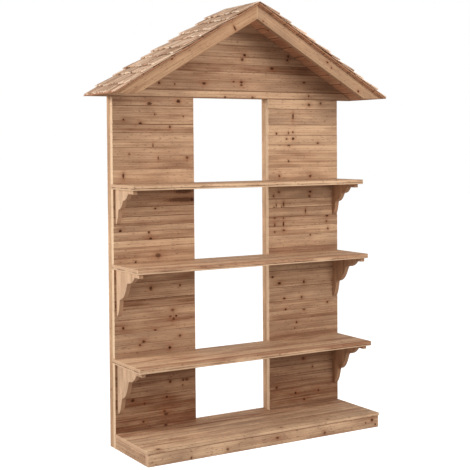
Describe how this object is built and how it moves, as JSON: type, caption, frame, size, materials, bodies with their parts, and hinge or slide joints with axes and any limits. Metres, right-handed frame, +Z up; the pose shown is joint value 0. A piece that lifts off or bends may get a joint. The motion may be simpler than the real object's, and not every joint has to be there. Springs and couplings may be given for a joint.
{
  "type": "house-shaped shelf",
  "caption": "Free-standing wooden shelf shaped like a house, with boarded back panels, through shelves on scroll-cut brackets, a low base and a shake-covered gable roof.",
  "frame": {"origin": "on the floor, at the centre of the overall width and depth", "axes": "+Z up, +X to the right of someone facing the shelf, +Y towards the back"},
  "size_m": [1.193, 0.3124, 1.6295],
  "materials": {
    "wall_boards": "planed fir boards, horizontal grain, uncoated",
    "shelf_boards": "planed fir boards, grain along the width, uncoated",
    "brackets": "sawn and sanded fir, upright grain, uncoated",
    "battens": "planed fir battens, uncoated",
    "bargeboards": "planed fir, grain along the slope, uncoated",
    "roof_deck": "rough-sawn fir boards, uncoated",
    "shakes": "split softwood, weathered, pale butt ends"
  },
  "bodies": {
    "root": {"base_top": "shelf_boards", "base_sill": "shelf_boards", "base_front_board": "shelf_boards", "base_left_side": "shelf_boards", "base_right_side": "shelf_boards", "lower_shelf": "shelf_boards", "middle_shelf": "shelf_boards", "upper_shelf": "shelf_boards", "base_back_rail": "battens", "base_middle_bearer": "battens", "left_outer_post": "battens", "left_inner_post": "battens", "right_inner_post": "battens", "right_outer_post": "battens", "left_rafter": "battens", "right_rafter": "battens", "tie_beam": "battens", "king_post": "battens", "left_wall_boards_1": "wall_boards", "left_wall_boards_2": "wall_boards", "left_wall_boards_3": "wall_boards", "left_wall_boards_4": "wall_boards", "right_wall_boards_1": "wall_boards", "right_wall_boards_2": "wall_boards", "right_wall_boards_3": "wall_boards", "right_wall_boards_4": "wall_boards", "gable_boards": "wall_boards", "lower_left_bracket": "brackets", "lower_right_bracket": "brackets", "middle_left_bracket": "brackets", "middle_right_bracket": "brackets", "upper_left_bracket": "brackets", "upper_right_bracket": "brackets", "left_bargeboard": "bargeboards", "left_roof_deck": "roof_deck", "right_bargeboard": "bargeboards", "right_roof_deck": "roof_deck", "left_shakes_1": "shakes", "left_shakes_2": "shakes", "left_shakes_3": "shakes", "left_shakes_4": "shakes", "left_shakes_5": "shakes", "right_shakes_1": "shakes", "right_shakes_2": "shakes", "right_shakes_3": "shakes", "right_shakes_4": "shakes", "right_shakes_5": "shakes"}
  },
  "joints": []
}
